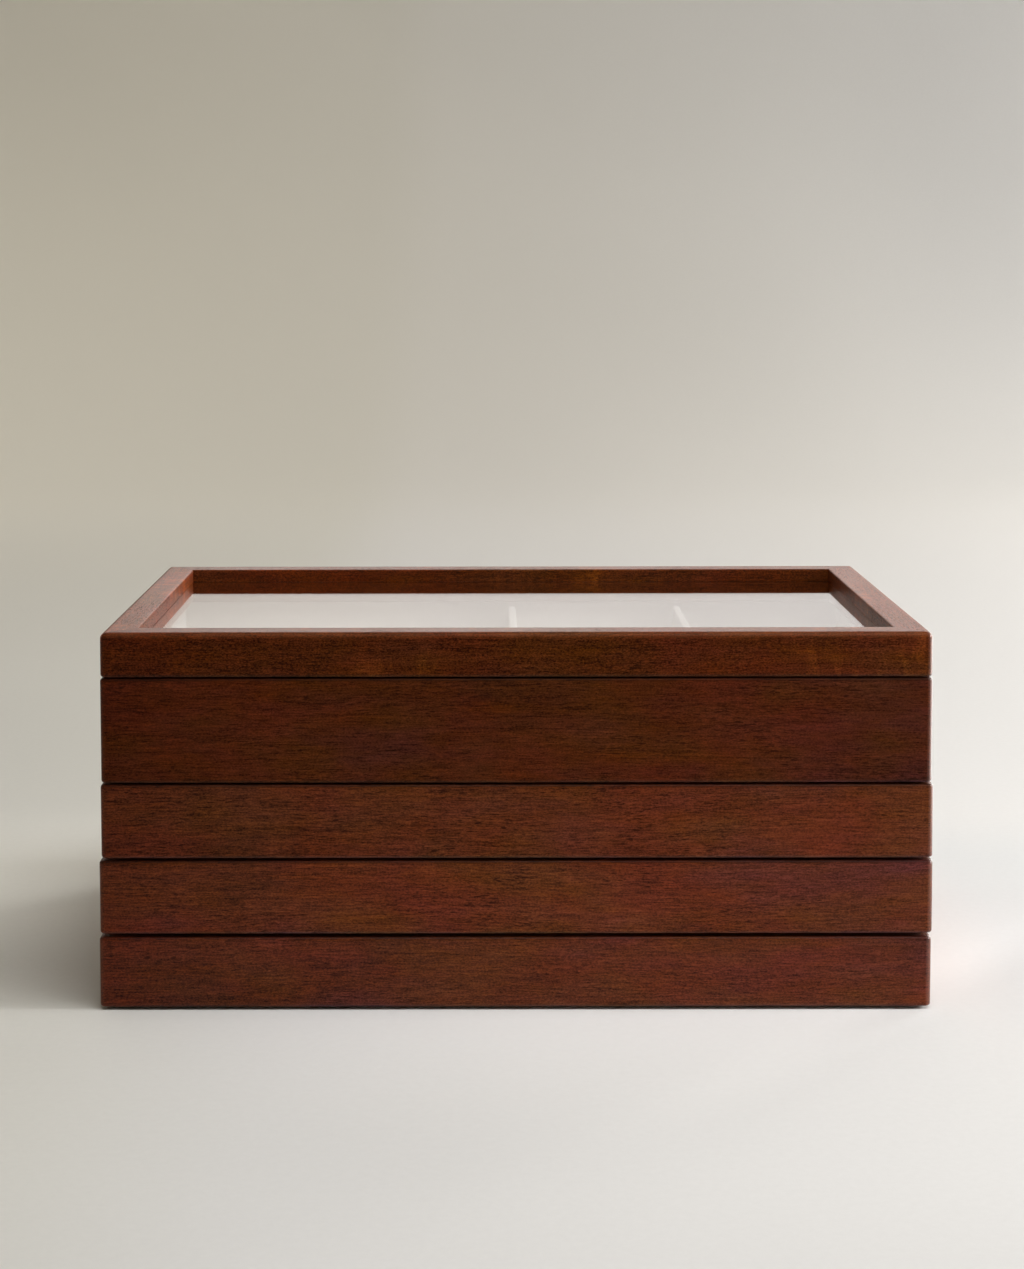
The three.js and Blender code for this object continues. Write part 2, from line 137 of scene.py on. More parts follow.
def wood(name, along="X", seed=1, grain=1.0, mottle=0.0, tone=(1.0, 1.0, 1.0), plum=0.35, sheen=(1.0, 0.62, 0.42),
         painted_light_slope=0.0, patch=1.0, crown=-0.6, painted_middle_shading=0.0, painted_cool_sheen_right=0.0, figure=0.0):
    """Stained hardwood under a satin clear coat: fine fibre, short dark pores
    along the grain, faint bands, and patches of redder, browner and cooler stain;
    on the lower trays the plum patches are partly a painted pinkish sheen."""
    n = Net(name)
    p = object_point(n, seed, along)
    # slow wander of the grain across its own direction
    wander = n.noise(n.scaled(p, (5, 9, 9)), detail=1.5)
    shift = n.math("MULTIPLY", n.math("SUBTRACT", wander, 0.5), 0.010)
    off = n.add("ShaderNodeCombineXYZ", {"Y": shift, "Z": shift}).outputs[0]
    q = n.vec("ADD", p, off)
    # stain tone in patches; on the lower trays the plum patches also stand in for a painted pinkish sheen
    tone_a = n.noise(n.scaled(p, (24, 46, 46)), detail=2, rough=0.55)
    tone_b = n.noise(n.scaled(n.vec("ADD", p, (1.7, 0.4, 2.2)), (17, 40, 40)), detail=2, rough=0.5)
    col = n.mix(n.remap(tone_a, 0.36, 0.64, smooth=True), RED, BROWN)
    col = n.mix(n.remap(tone_b, 0.62 - 0.30 * plum, 0.80 - 0.30 * plum, 0, 0.85, smooth=True), col, PLUM)
    warm = n.noise(n.scaled(n.vec("ADD", p, (0.6, 3.4, 1.2)), (20, 75, 75)), detail=3, rough=0.6)
    cool = n.noise(n.scaled(n.vec("ADD", p, (2.9, 1.1, 0.3)), (34, 120, 120)), detail=3, rough=0.6)
    warm = n.math("ADD", 1.0, n.math("MULTIPLY", n.math("SUBTRACT", warm, 0.5), 0.45 * patch))
    cool = n.math("ADD", 1.0, n.math("MULTIPLY", n.math("SUBTRACT", cool, 0.5), 1.9 * patch))
    cool = n.math("MAXIMUM", cool, 0.3)
    col = n.mix(1.0, col, n.add("ShaderNodeCombineColor", {0: 1.0, 1: warm, 2: cool}).outputs[0], "MULTIPLY")
    # lightness: bands, fibre, and the silky cross figure
    bands = n.noise(n.scaled(q, (4, 110, 110)), detail=2, rough=0.5)
    fibre = n.noise(n.scaled(q, (150, 2400, 2400)), detail=2.5, rough=0.7)
    streak = n.noise(n.scaled(q, (34, 1000, 1000)), detail=2, rough=0.6)
    curl = n.noise(n.scaled(p, (85, 20, 20)), detail=1.5)
    cloud = n.noise(n.scaled(p, (14, 30, 30)), detail=2)
    v = 1.0
    for part, gain in ((bands, 0.34), (fibre, 2.35 * grain), (streak, 1.0 * grain), (curl, 0.26), (cloud, 0.44)):
        v = n.math("ADD", v, n.math("MULTIPLY", n.math("SUBTRACT", part, 0.5), gain))
    speck = n.noise(n.scaled(q, (1350, 2300, 2300)), detail=2, rough=0.7)
    v = n.math("ADD", v, n.math("MULTIPLY", n.math("SUBTRACT", speck, 0.5), 2.6 + 1.6 * mottle))
    if painted_light_slope:
        # front boards: painted shade and light, darker and redder towards the left end and lighter towards the right;
        # painted light or shade across the middle; a painted cool sheen at the right end
        x = n.add("ShaderNodeSeparateXYZ", {0: n.add("ShaderNodeTexCoord").outputs["Object"]}).outputs["X"]
        v = n.math("ADD", v, n.math("MULTIPLY", x, painted_light_slope))
        middle = n.math("SUBTRACT", 1.0, n.math("POWER", n.math("MULTIPLY", n.math("ADD", x, 0.025), 14.0), 2.0), clamp=True)
        v = n.math("ADD", v, n.math("MULTIPLY", middle, painted_middle_shading))
        col = n.mix(n.remap(x, -0.085, -0.135, smooth=True), col, n.mix(1.0, col, (0.93, 0.82, 0.86), "MULTIPLY"))
        col = n.mix(n.remap(x, 0.06, 0.135, 0, painted_cool_sheen_right, smooth=True), col, n.mix(1.0, col, (0.82, 0.87, 1.45), "MULTIPLY"))
    if figure:
        # short cross figure that shows orange, clear of pores
        flame = n.noise(n.scaled(p, (230, 80, 80)), detail=2, rough=0.55)
        where = n.remap(n.noise(n.scaled(p, (19, 30, 30)), detail=1), 0.47, 0.60, smooth=True)
        flame = n.math("MULTIPLY", n.remap(flame, 0.47, 0.66, smooth=True), n.math("MULTIPLY", where, figure))
        col = n.mix(flame, col, n.mix(1.0, col, (1.75, 1.95, 1.5), "MULTIPLY"))
    v = n.math("MAXIMUM", v, 0.15)
    v = n.add("ShaderNodeCombineColor", {i: n.math("MULTIPLY", v, t) for i, t in enumerate(tone)}).outputs[0]
    col = n.mix(1.0, col, v, "MULTIPLY")
    # pores: short dark dashes, crowded in some zones and sparse in others
    zone = n.remap(n.noise(n.scaled(q, (22, 75, 75)), detail=2), 0.36, 0.62, 0.15, 1.0, smooth=True)
    dash = n.noise(n.scaled(q, (330, 2600, 2600)), detail=1.5, rough=0.5)
    pore = n.math("MULTIPLY", n.remap(dash, 0.56, 0.66, smooth=True), zone)
    fleck = n.noise(n.scaled(q, (900, 2900, 2900)), detail=1, rough=0.5)
    fleck = n.math("MULTIPLY", n.remap(fleck, 0.58, 0.70, smooth=True), 0.85 if mottle else 0.45)
    pore = n.math("MAXIMUM", pore, fleck)
    if figure:
        pore = n.math("MULTIPLY", pore, n.math("SUBTRACT", 1.0, n.math("MULTIPLY", where, 0.75)))
    col = n.mix(n.math("MULTIPLY", pore, 0.75 * grain), col, (0.020, 0.0050, 0.0016))
    # stain lies thinner on the upright corners; along the top arris the trays get painted shade
    # and the lid a painted highlight, and along the lower one a painted greyer sheen stands for the floor's reflection
    edge = n.add("ShaderNodeAttribute", attribute_name="edge").outputs["Fac"]
    top = n.add("ShaderNodeAttribute", attribute_name="crown").outputs["Fac"]
    low = n.add("ShaderNodeAttribute", attribute_name="foot").outputs["Fac"]
    uneven = n.remap(n.noise(n.scaled(p, (90, 260, 260)), detail=2), 0.38, 0.68, 0.25, 1.0)
    col = n.mix(n.math("MULTIPLY", n.math("MULTIPLY", edge, uneven), 0.12), col, (0.34, 0.115, 0.040))
    if crown > 0:
        col = n.mix(n.math("MULTIPLY", n.math("MULTIPLY", top, uneven), crown), col, (0.34, 0.115, 0.040))
    else:
        shade = n.math("ADD", 1.0, n.math("MULTIPLY", n.math("MULTIPLY", top, n.remap(uneven, 0.25, 1.0, 0.8, 1.1)), crown))
        col = n.mix(1.0, col, n.add("ShaderNodeCombineColor", {0: shade, 1: shade, 2: shade}).outputs[0], "MULTIPLY")
    # painted sheen: the lower arris turns greyer and bluer
    col = n.mix(low, col, n.mix(1.0, col, (0.95, 1.5, 2.7), "MULTIPLY"))
    rough = n.math("ADD", n.math("MULTIPLY", fibre, 0.10), n.math("MULTIPLY", pore, 0.15))
    rough = n.math("ADD", rough, n.math("ADD", 0.30, n.math("MULTIPLY", cloud, 0.10)))
    relief = n.math("SUBTRACT", n.math("MULTIPLY", fibre, 0.35), n.math("MULTIPLY", pore, 0.65))
    normal = n.bump(relief, 0.00004, 0.5)
    normal = n.bump(n.noise(n.scaled(p, (35, 90, 90)), detail=1), 0.00012, 0.25, normal)
    bsdf = n.add("ShaderNodeBsdfPrincipled", {"Base Color": col, "Roughness": rough, "Normal": normal,
                 "Specular IOR Level": 0.12, "Specular Tint": (*sheen, 1),
                 "Coat Weight": n.add("ShaderNodeAttribute", attribute_name="gloss").outputs["Fac"], "Coat Roughness": 0.3})
    return n.finish(bsdf.outputs[0])


def fabric(name, seed=5, tint=(0.688, 0.655, 0.638)):
    """Off-white short-nap cloth over card."""
    n = Net(name)
    p = object_point(n, seed, "X")
    nap = n.noise(p, scale=2600, detail=3, rough=0.7)
    lie = n.noise(p, scale=70, detail=3, rough=0.55)
    thread = n.noise(n.scaled(p, (5200, 1400, 5200)), detail=1)
    dark = tuple(c * f for c, f in zip(tint, (0.84, 0.82, 0.80)))
    col = n.mix(n.remap(nap, 0.3, 0.7), dark, tint)
    col = n.mix(n.math("MULTIPLY", n.remap(lie, 0.35, 0.65), 0.35), col, tuple(min(1, c * 1.08) for c in tint))
    h = n.math("ADD", nap, n.math("MULTIPLY", thread, 0.5))
    normal = n.bump(h, 0.00022, 0.6)
    normal = n.bump(lie, 0.0004, 0.25, normal)
    bsdf = n.add("ShaderNodeBsdfPrincipled", {"Base Color": col, "Roughness": n.remap(nap, 0, 1, 0.84, 1.0),
                 "Normal": normal, "Specular IOR Level": 0.15, "Sheen Weight": 0.35, "Sheen Roughness": 0.4})
    return n.finish(bsdf.outputs[0])


def felt_material():
    n = Net("pressed_felt")
    p = object_point(n, 9, "X")
    fibre = n.noise(p, scale=3000, detail=4, rough=0.75)
    clump = n.noise(p, scale=500, detail=3)
    col = n.mix(n.remap(fibre, 0.3, 0.7), (0.014, 0.010, 0.008), (0.05, 0.036, 0.028))
    col = n.mix(n.math("MULTIPLY", n.remap(clump, 0.4, 0.7), 0.4), col, (0.07, 0.052, 0.042))
    bsdf = n.add("ShaderNodeBsdfPrincipled", {"Base Color": col, "Roughness": n.remap(fibre, 0, 1, 0.85, 1.0),
                 "Normal": n.bump(fibre, 0.0003, 0.8), "Specular IOR Level": 0.1, "Sheen Weight": 0.4})
    return n.finish(bsdf.outputs[0])


def panel_material():
    """Thin stained ply for the bases: open grain, little coat."""
    n = Net("base_panel")
    p = object_point(n, 21, "X")
    wander = n.noise(n.scaled(p, (5, 12, 12)), detail=2)
    shift = n.math("MULTIPLY", n.math("SUBTRACT", wander, 0.5), 0.03)
    q = n.vec("ADD", p, n.add("ShaderNodeCombineXYZ", {"Y": shift}).outputs[0])
    a = n.noise(n.scaled(q, (6, 160, 160)), detail=4, rough=0.6)
    b = n.noise(n.scaled(q, (60, 1500, 1500)), detail=2, rough=0.6)
    v = n.math("ADD", n.math("MULTIPLY", a, 0.7), n.math("MULTIPLY", b, 0.3))
    col = n.ramp(v, [(0.3, (0.030, 0.010, 0.004)), (0.52, (0.075, 0.026, 0.011)), (0.72, (0.12, 0.046, 0.020))])
    bsdf = n.add("ShaderNodeBsdfPrincipled", {"Base Color": col, "Roughness": n.remap(b, 0.2, 0.8, 0.55, 0.75),
                 "Normal": n.bump(b, 0.00008, 0.6), "Specular IOR Level": 0.3})
    return n.finish(bsdf.outputs[0])


def brass_material(name, seed, tint=(0.62, 0.43, 0.17)):
    n = Net(name)
    p = object_point(n, seed, "X")
    brush = n.noise(n.scaled(p, (500, 14000, 14000)), detail=2)
    stain = n.noise(p, scale=420, detail=4, rough=0.65)
    col = n.mix(n.remap(stain, 0.45, 0.75), tint, (tint[0] * 0.55, tint[1] * 0.48, tint[2] * 0.42))
    rough = n.math("ADD", n.remap(stain, 0.3, 0.8, 0.20, 0.42), n.math("MULTIPLY", brush, 0.10))
    bsdf = n.add("ShaderNodeBsdfPrincipled", {"Base Color": col, "Metallic": 1.0, "Roughness": rough,
                 "Normal": n.bump(brush, 0.00002, 0.5)})
    return n.finish(bsdf.outputs[0])


def glass_material():
    """Clear pane that lets lamps through to what lies under it."""
    n = Net("clear_glass")
    p = object_point(n, 31, "X")
    wave = n.noise(n.scaled(p, (9, 9, 9)), detail=0)
    smear = n.noise(p, scale=60, detail=4, rough=0.6)
    normal = n.bump(wave, 0.00003, 0.3)
    glass = n.add("ShaderNodeBsdfPrincipled", {"Base Color": (1, 1, 1, 1), "IOR": 1.5, "Transmission Weight": 1.0,
                  "Roughness": n.remap(smear, 0.55, 0.9, 0.0, 0.015), "Normal": normal})
    clear = n.add("ShaderNodeBsdfTransparent", {"Color": (0.95, 0.965, 0.955, 1)})
    lp = n.add("ShaderNodeLightPath")
    f = n.math("MAXIMUM", lp.outputs["Is Shadow Ray"], lp.outputs["Is Diffuse Ray"])
    mix = n.add("ShaderNodeMixShader", {0: f, 1: glass.outputs[0], 2: clear.outputs[0]})
    return n.finish(mix.outputs[0])


# ------------------------------------------------------------------- meshes
def make(name, verts, faces, material, body, node=None, edge=None, sharp=35.0):
    me = bpy.data.meshes.new(name)
    me.from_pydata([tuple(v) for v in verts], [], faces)
    me.update()
    for key, values in (edge or {}).items():
        me.attributes.new(key, "FLOAT", "POINT").data.foreach_set("value", values)
    for poly in me.polygons:
        poly.use_smooth = True
    me.set_sharp_from_angle(angle=math.radians(sharp))
    me.materials.append(material)
    o = bpy.data.objects.new(name + "_fine", me)
    scene.collection.objects.link(o)
    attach(o, body)
    if node:
        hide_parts(node)
    return o


def arc(cu, cz, r, a0, a1, n):
    return [(cu + r * math.cos(math.radians(a0 + (a1 - a0) * i / n)),
             cz + r * math.sin(math.radians(a0 + (a1 - a0) * i / n))) for i in range(n + 1)]


def section(corners, support=0.45 * MM):
    """A closed outline in (u, z): each corner is (u, z, radius, segments). A
    supporting point stands just past the end of each arc, so that flats shade flat."""
    n = len(corners)
    pts, flag = [], []
    for i, (u, z, r, seg) in enumerate(corners):
        part = "foot" if i == 0 else "crown" if i == n - 1 else ""
        pu, pz = corners[i - 1][:2]
        nu, nz = corners[(i + 1) % n][:2]
        din = Vector((u - pu, z - pz)).normalized()
        dout = Vector((nu - u, nz - z)).normalized()
        here = Vector((u, z))
        if r <= 0:
            pts.append(here)
            flag.append(("", 0.0))
            continue
        a, b = here - din * r, here + dout * r
        centre = a + dout * r
        pts.append(a - din * support)
        flag.append(("", 0.0))
        for k in range(seg + 1):
            t = k / seg * math.pi / 2
            pts.append(centre - dout * r * math.cos(t) + din * r * math.sin(t))
            flag.append((part, math.sin(2 * t) ** 0.5 if 0 < k < seg else 0.15))
        pts.append(b + dout * support)
        flag.append(("", 0.0))
    return [(p.x, p.y) for p in pts], flag


def placed(side, x0, x1, y0, y1):
    """Maps (a along, u inwards, z) of a board seen from outside to the frame."""
    return {
        "front": lambda a, u, z: (x0 + a, y0 + u, z),
        "right": lambda a, u, z: (x1 - u, y0 + a, z),
        "back": lambda a, u, z: (x1 - a, y1 - u, z),
        "left": lambda a, u, z: (x0 + u, y1 - a, z),
    }[side]


def board(name, side, rect, outline, flag, radius, material, body, gap=0.03 * MM, steps=5, cuts=10):
    """A mitred board swept along one side of a rounded rectangle."""
    x0, x1, y0, y1 = rect
    length = (x1 - x0) if side in ("front", "back") else (y1 - y0)
    put = placed(side, x0, x1, y0, y1)
    rings = []
    for i in range(steps + 1):
        t = i / steps
        phi = math.radians(45 * (1 - t))
        ring = []
        for u, z in outline:
            if u < radius:
                a = radius - (radius - u) * math.sin(phi)
                w = radius - (radius - u) * math.cos(phi)
            else:
                a = u + 0.6 * MM * t
                w = u
            ring.append((a + (gap if i == 0 else 0.0), w, z))
        rings.append(ring)
    inner = [[(length - a, w, z) for a, w, z in r] for r in reversed(rings)]
    deep = max(u for u, z in outline) + 1.2 * MM
    straight = [[(deep + (length - 2 * deep) * k / cuts, u, z) for u, z in outline] for k in range(cuts + 1)]
    all_rings = rings + straight + inner
    verts = [put(*p) for r in all_rings for p in r]
    m = len(outline)
    faces = []
    for i in range(len(all_rings) - 1):
        for j in range(m):
            k = (j + 1) % m
            faces.append((i * m + j, i * m + k, (i + 1) * m + k, (i + 1) * m + j))
    faces.append(tuple(reversed(range(m))))
    faces.append(tuple(range((len(all_rings) - 1) * m, len(all_rings) * m)))
    edge = {"edge": [], "gloss": [], "crown": [], "foot": []}
    for ri in range(len(all_rings)):
        turn = min(ri, len(all_rings) - 1 - ri) / steps
        for (u, z), (part, value) in zip(outline, flag):
            corner = max(0.0, 1.0 - turn ** 3) if turn < 1 and u < 2.4 * MM else 0.0
            edge["edge"].append(corner)
            edge["gloss"].append(corner * (0.8 if all_rings[ri][0][0] > length / 2 else 0.08) if side == "front"
                                 else corner * (0.8 if side == "right" else 0.08))
            edge["crown"].append(value if part == "crown" else 0.0)
            edge["foot"].append(value if part == "foot" else 0.0)
    return make(name, verts, faces, material, body, node=name, edge=edge)


def cutter(verts, faces):
    me = bpy.data.meshes.new("cutter")
    me.from_pydata(verts, [], faces)
    me.update()
    o = bpy.data.objects.new("cutter", me)
    scene.collection.objects.link(o)
    return o


def recess_for_hinges(o, node, up):
    """Takes the leaf pockets and the barrels' grooves out of a back board."""
    lo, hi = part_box(node)
    face = hi.z if up > 0 else lo.z
    tools = []
    for word in ("left", "right"):
        leaf, leaf_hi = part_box(f"hinge_{word}_{'tray' if up > 0 else 'lid'}_leaf")
        p0, p1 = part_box(f"hinge_{word}_pin")
        x0, x1 = leaf.x - 0.1 * MM, leaf_hi.x + 0.1 * MM
        za, zb = sorted((face - up * 0.9 * MM, face + up * 1.5 * MM))
        y0, y1 = leaf.y - 0.1 * MM, hi.y + 3 * MM
        ring = [(y0, za), (y1, za), (y1, zb), (y0, zb)]
        cy, cz, r = (p0.y + p1.y) / 2, (p0.z + p1.z) / 2, 1.8 * MM
        round_ = [(cy + r * math.cos(2 * math.pi * k / 40), cz + r * math.sin(2 * math.pi * k / 40)) for k in range(40)]
        for prof, e in ((ring, 0.0), (round_, 0.02 * MM)):
            m = len(prof)
            verts = [(x0 - e, y, z) for y, z in prof] + [(x1 + e, y, z) for y, z in prof]
            faces = [(k, (k + 1) % m, m + (k + 1) % m, m + k) for k in range(m)]
            faces += [tuple(reversed(range(m))), tuple(range(m, 2 * m))]
            tools.append(cutter(verts, faces))
    for t in tools:
        b = o.modifiers.new("cut", "BOOLEAN")
        b.operation, b.solver, b.object = "DIFFERENCE", "EXACT", t
    dg = bpy.context.evaluated_depsgraph_get()
    me = bpy.data.meshes.new_from_object(o.evaluated_get(dg))
    o.modifiers.clear()
    o.data = me
    me.set_sharp_from_angle(angle=math.radians(35))
    for t in tools:
        bpy.data.objects.remove(t)


def corners_of(prefix, sides=("front", "back", "left", "right"), suffix=""):
    f, b, l, r = (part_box(f"{prefix}{s}{suffix}") for s in sides)
    return (l[0].x, r[1].x, f[0].y, b[1].y), (f[0].z, f[1].z)


BOARD = 7 * MM
REBATE = 3.1 * MM


def tray_section(z0, z1):
    return section([
        (0, z0, 0.9 * MM, 5), (BOARD - REBATE, z0, 0, 0), (BOARD - REBATE, z0 + REBATE, 0, 0),
        (BOARD, z0 + REBATE, 0, 0), (BOARD, z1, 0.5 * MM, 3), (0, z1, 1.1 * MM, 6),
    ])


def lid_section(z0, z1):
    seat = z1 - 4.9 * MM
    return section([
        (0, z0, 0.9 * MM, 5), (7.5 * MM, z0, 0, 0), (7.5 * MM, seat, 0, 0),
        (11.5 * MM, seat, 0, 0), (11.5 * MM, z1, 0.6 * MM, 4), (0, z1, 2.2 * MM, 8),
    ])


def rounded_loop(x0, x1, y0, y1, r, z, seg=5, cuts=6):
    """A rounded rectangle as one ring of points, counter-clockwise."""
    pts = []
    for cx, cy, a0 in ((x1 - r, y1 - r, 0), (x0 + r, y1 - r, 90), (x0 + r, y0 + r, 180), (x1 - r, y0 + r, 270)):
        for k in range(seg + 1):
            t = math.radians(a0 + 90 * k / seg)
            pts.append((cx + r * math.cos(t), cy + r * math.sin(t), z))
    return pts


def loops_to_mesh(loops, cap_first=True, cap_last=True):
    m = len(loops[0])
    verts = [p for l in loops for p in l]
    faces = []
    for i in range(len(loops) - 1):
        for j in range(m):
            k = (j + 1) % m
            faces.append((i * m + j, i * m + k, (i + 1) * m + k, (i + 1) * m + j))
    if cap_first:
        faces.append(tuple(reversed(range(m))))
    if cap_last:
        faces.append(tuple(range((len(loops) - 1) * m, len(loops) * m)))
    return verts, faces


def liner(name, body, material):
    """Cloth-covered card tray: soft rolled rim, coved floor."""
    lo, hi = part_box(name)
    w = 0.9 * MM
    floor = lo.z + 0.8 * MM
    loops = []

    def loop(inset, z, r):
        loops.append(rounded_loop(lo.x + inset, hi.x - inset, lo.y + inset, hi.y - inset, r, z))

    loop(0, lo.z, 0.3 * MM)
    loop(0, hi.z - 0.45 * MM, 0.3 * MM)
    for k in range(1, 8):
        t = math.pi * k / 8
        loop(0.45 * MM * (1 - math.cos(t)), hi.z - 0.45 * MM + 0.45 * MM * math.sin(t), 0.3 * MM + 0.2 * MM * k / 8)
    loop(w, hi.z - 0.45 * MM, 0.6 * MM)
    cove = 1.2 * MM
    loop(w, floor + cove, 0.8 * MM)
    for k in range(1, 5):
        t = math.pi / 2 * k / 5
        loop(w + cove * (1 - math.cos(t)), floor + cove * (1 - math.sin(t)), 0.8 * MM)
    loop(w + cove, floor, 0.8 * MM)
    loop(w + 3 * MM, floor, 0.8 * MM)
    verts, faces = loops_to_mesh(loops)
    return make(name, verts, faces, material, body, node=name, sharp=60)


def covered_strip(name, body, material, along="Y"):
    """A divider: card under cloth, with a round top edge and eased ends."""
    lo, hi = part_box(name)
    if along == "Y":
        half, mid, a0, a1 = (hi.x - lo.x) / 2, (hi.x + lo.x) / 2, lo.y, hi.y
        put = lambda u, a, z: (mid + u, a, z)
    else:
        half, mid, a0, a1 = (hi.y - lo.y) / 2, (hi.y + lo.y) / 2, lo.x, hi.x
        put = lambda u, a, z: (a, mid - u, z)
    turn = 0.7 * MM
    ring = [(-half, lo.z), (half, lo.z), (half, lo.z + 2 * MM), (half, hi.z - turn - 0.6 * MM)]
    ring += [(p, z) for p, z in arc(half - turn, hi.z - turn, turn, 0, 90, 5)]
    ring += [(0.25 * half, hi.z + 0.02 * MM), (-0.25 * half, hi.z + 0.02 * MM)]
    ring += [(p, z) for p, z in arc(turn - half, hi.z - turn, turn, 90, 180, 5)]
    ring += [(-half, hi.z - turn - 0.6 * MM), (-half, lo.z + 2 * MM)]
    ring = [(p, min(z, hi.z)) for p, z in ring]
    rings = []
    n = 40
    for k in range(n + 1):
        a = a0 + (a1 - a0) * k / n
        squeeze = 1.0 - 0.12 * (k in (0, n))
        sway = 0.10 * MM * noise.noise(Vector((a * 30, mid * 50, 1.3)))
        drop = 0.12 * MM * noise.noise(Vector((a * 45, mid * 50, 7.7)))
        fade = math.sin(math.pi * k / n)
        rings.append([put(u * squeeze + sway * fade * (1 if z > lo.z + 1 * MM else 0),
                          a, z - (abs(drop) * fade if z > hi.z - 2 * half else 0)) for u, z in ring])
    m = len(ring)
    verts = [p for r in rings for p in r]
    faces = []
    for i in range(n):
        for j in range(m):
            k = (j + 1) % m
            f = (i * m + j, i * m + k, (i + 1) * m + k, (i + 1) * m + j)
            faces.append(f if along == "X" else tuple(reversed(f)))
    a, b = tuple(range(m)), tuple(range(n * m, (n + 1) * m))
    faces.append(tuple(reversed(a)) if along == "X" else a)
    faces.append(b if along == "X" else tuple(reversed(b)))
    return make(name, verts, faces, material, body, node=name, sharp=50)


def ring_pad(name, body, material, rolls=8):
    """Stuffed cloth rolls side by side, tucked in at both ends."""
    lo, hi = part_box(name)
    pitch = (hi.y - lo.y) / rolls
    long = hi.x - lo.x
    card = lo.z + 2.6 * MM
    n, seg = 110, 16
    verts, faces = [], []
    for k in range(n + 1):
        x = lo.x + long * k / n
        tuck = min(1.0, min(k, n - k) / n * long / (5.5 * MM))
        puff = 0.30 + 0.70 * math.sqrt(max(0.0, 1 - (1 - tuck) ** 2))
        ring = [(lo.y, lo.z), (hi.y, lo.z)]
        for i in range(rolls - 1, -1, -1):
            c = lo.y + pitch * (i + 0.5)
            slack = 1 - 0.055 * (0.5 + 0.5 * noise.noise(Vector((x * 26, i * 3.1, 4.0))))
            for j in range(seg + 1 if i == rolls - 1 else seg + 1):
                if j == 0 and i < rolls - 1:
                    continue
                a = math.pi * j / seg
                rise = max(0.0, math.sin(a)) ** 0.72
                fold = noise.noise(Vector((x * 170, i * 5.0 + math.cos(a) * 0.8, 0.3))) * (1 - tuck * 0.8)
                z = card + (hi.z - card) * rise * puff * slack - 0.22 * MM * rise * abs(fold) * 2
                ring.append((c + 0.5 * pitch * math.cos(a), min(z, hi.z)))
        verts += [(x, y, z) for y, z in ring]
        m = len(ring)
    for k in range(n):
        for j in range(m):
            q = (j + 1) % m
            faces.append((k * m + j, k * m + q, (k + 1) * m + q, (k + 1) * m + j))
    faces.append(tuple(reversed(range(m))))
    faces.append(tuple(range(n * m, (n + 1) * m)))
    o = make(name, verts, faces, material, body, node=name, sharp=100)
    return o


def felt_pad(name, body, material):
    lo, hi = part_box(name)
    cx, cy, r = (lo.x + hi.x) / 2, (lo.y + hi.y) / 2, (hi.x - lo.x) / 2
    loops = []
    for inset, z in ((0.9, lo.z), (0.35, lo.z), (0.0, lo.z + 0.3 * MM), (0.0, hi.z - 0.3 * MM), (0.25, hi.z), (1.0, hi.z)):
        loops.append([(cx + (r - inset * MM) * math.cos(t) , cy + (r - inset * MM) * math.sin(t), z)
                      for t in (2 * math.pi * k / 48 for k in range(48))])
    verts, faces = loops_to_mesh(loops)
    return make(name, verts, faces, material, body, node=name, sharp=50)


def pane(name, body, material):
    """Cut glass with ground edges."""
    lo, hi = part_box(name)
    e = 0.25 * MM
    loops = [rounded_loop(lo.x + i, hi.x - i, lo.y + i, hi.y - i, 0.4 * MM, z)
             for i, z in ((e, lo.z), (0, lo.z + e), (0, hi.z - e), (e, hi.z))]
    verts, faces = loops_to_mesh(loops)
    return make(name, verts, faces, material, body, node=name, sharp=30)


def base_board(name, body, material, stepped):
    """The tray's base: a panel whose lower side steps down into the tray below."""
    lo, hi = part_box(name)
    loops = []

    def loop(inset, z, r):
        loops.append(rounded_loop(lo.x + inset * MM, hi.x - inset * MM, lo.y + inset * MM, hi.y - inset * MM, r * MM, z))

    z0 = hi.z - 3 * MM
    if stepped:
        loop(8.0, lo.z, 1.2)
        loop(5.1, lo.z, 1.2)
        loop(4.8, lo.z + 0.3 * MM, 1.5)
        loop(4.8, z0, 1.5)
        loop(2.0, z0, 0.5)
    else:
        loop(3.0, lo.z, 0.5)
    loop(0.15, z0, 0.2)
    loop(0.0, z0 + 0.15 * MM, 0.2)
    loop(0.0, hi.z, 0.2)
    loop(3.0, hi.z, 0.5)
    verts, faces = loops_to_mesh(loops)
    return make(name, verts, faces, material, body, node=name, sharp=35)


def eased(o, width, material, angle=32):
    """A fixed piece as it is, with a fine bevel and smooth round faces."""
    for poly in o.data.polygons:
        poly.use_smooth = True
    o.data.set_sharp_from_angle(angle=math.radians(angle))
    b = o.modifiers.new("ease", "BEVEL")
    b.width = width
    b.segments = 2
    b.limit_method = "ANGLE"
    b.angle_limit = math.radians(angle + 8)
    b.harden_normals = True
    b.use_clamp_overlap = True
    o.data.materials.clear()
    o.data.materials.append(material)


# ------------------------------------------------------------------- pieces
lining = fabric("lining_cloth", 5)
strip_cloth = fabric("strip_cloth", 6, tint=(0.62, 0.59, 0.575))
panel = panel_material()
brass = brass_material("hinge_brass", 12)
brass_screw = brass_material("screw_brass", 14, (0.66, 0.47, 0.20))
felt = felt_material()
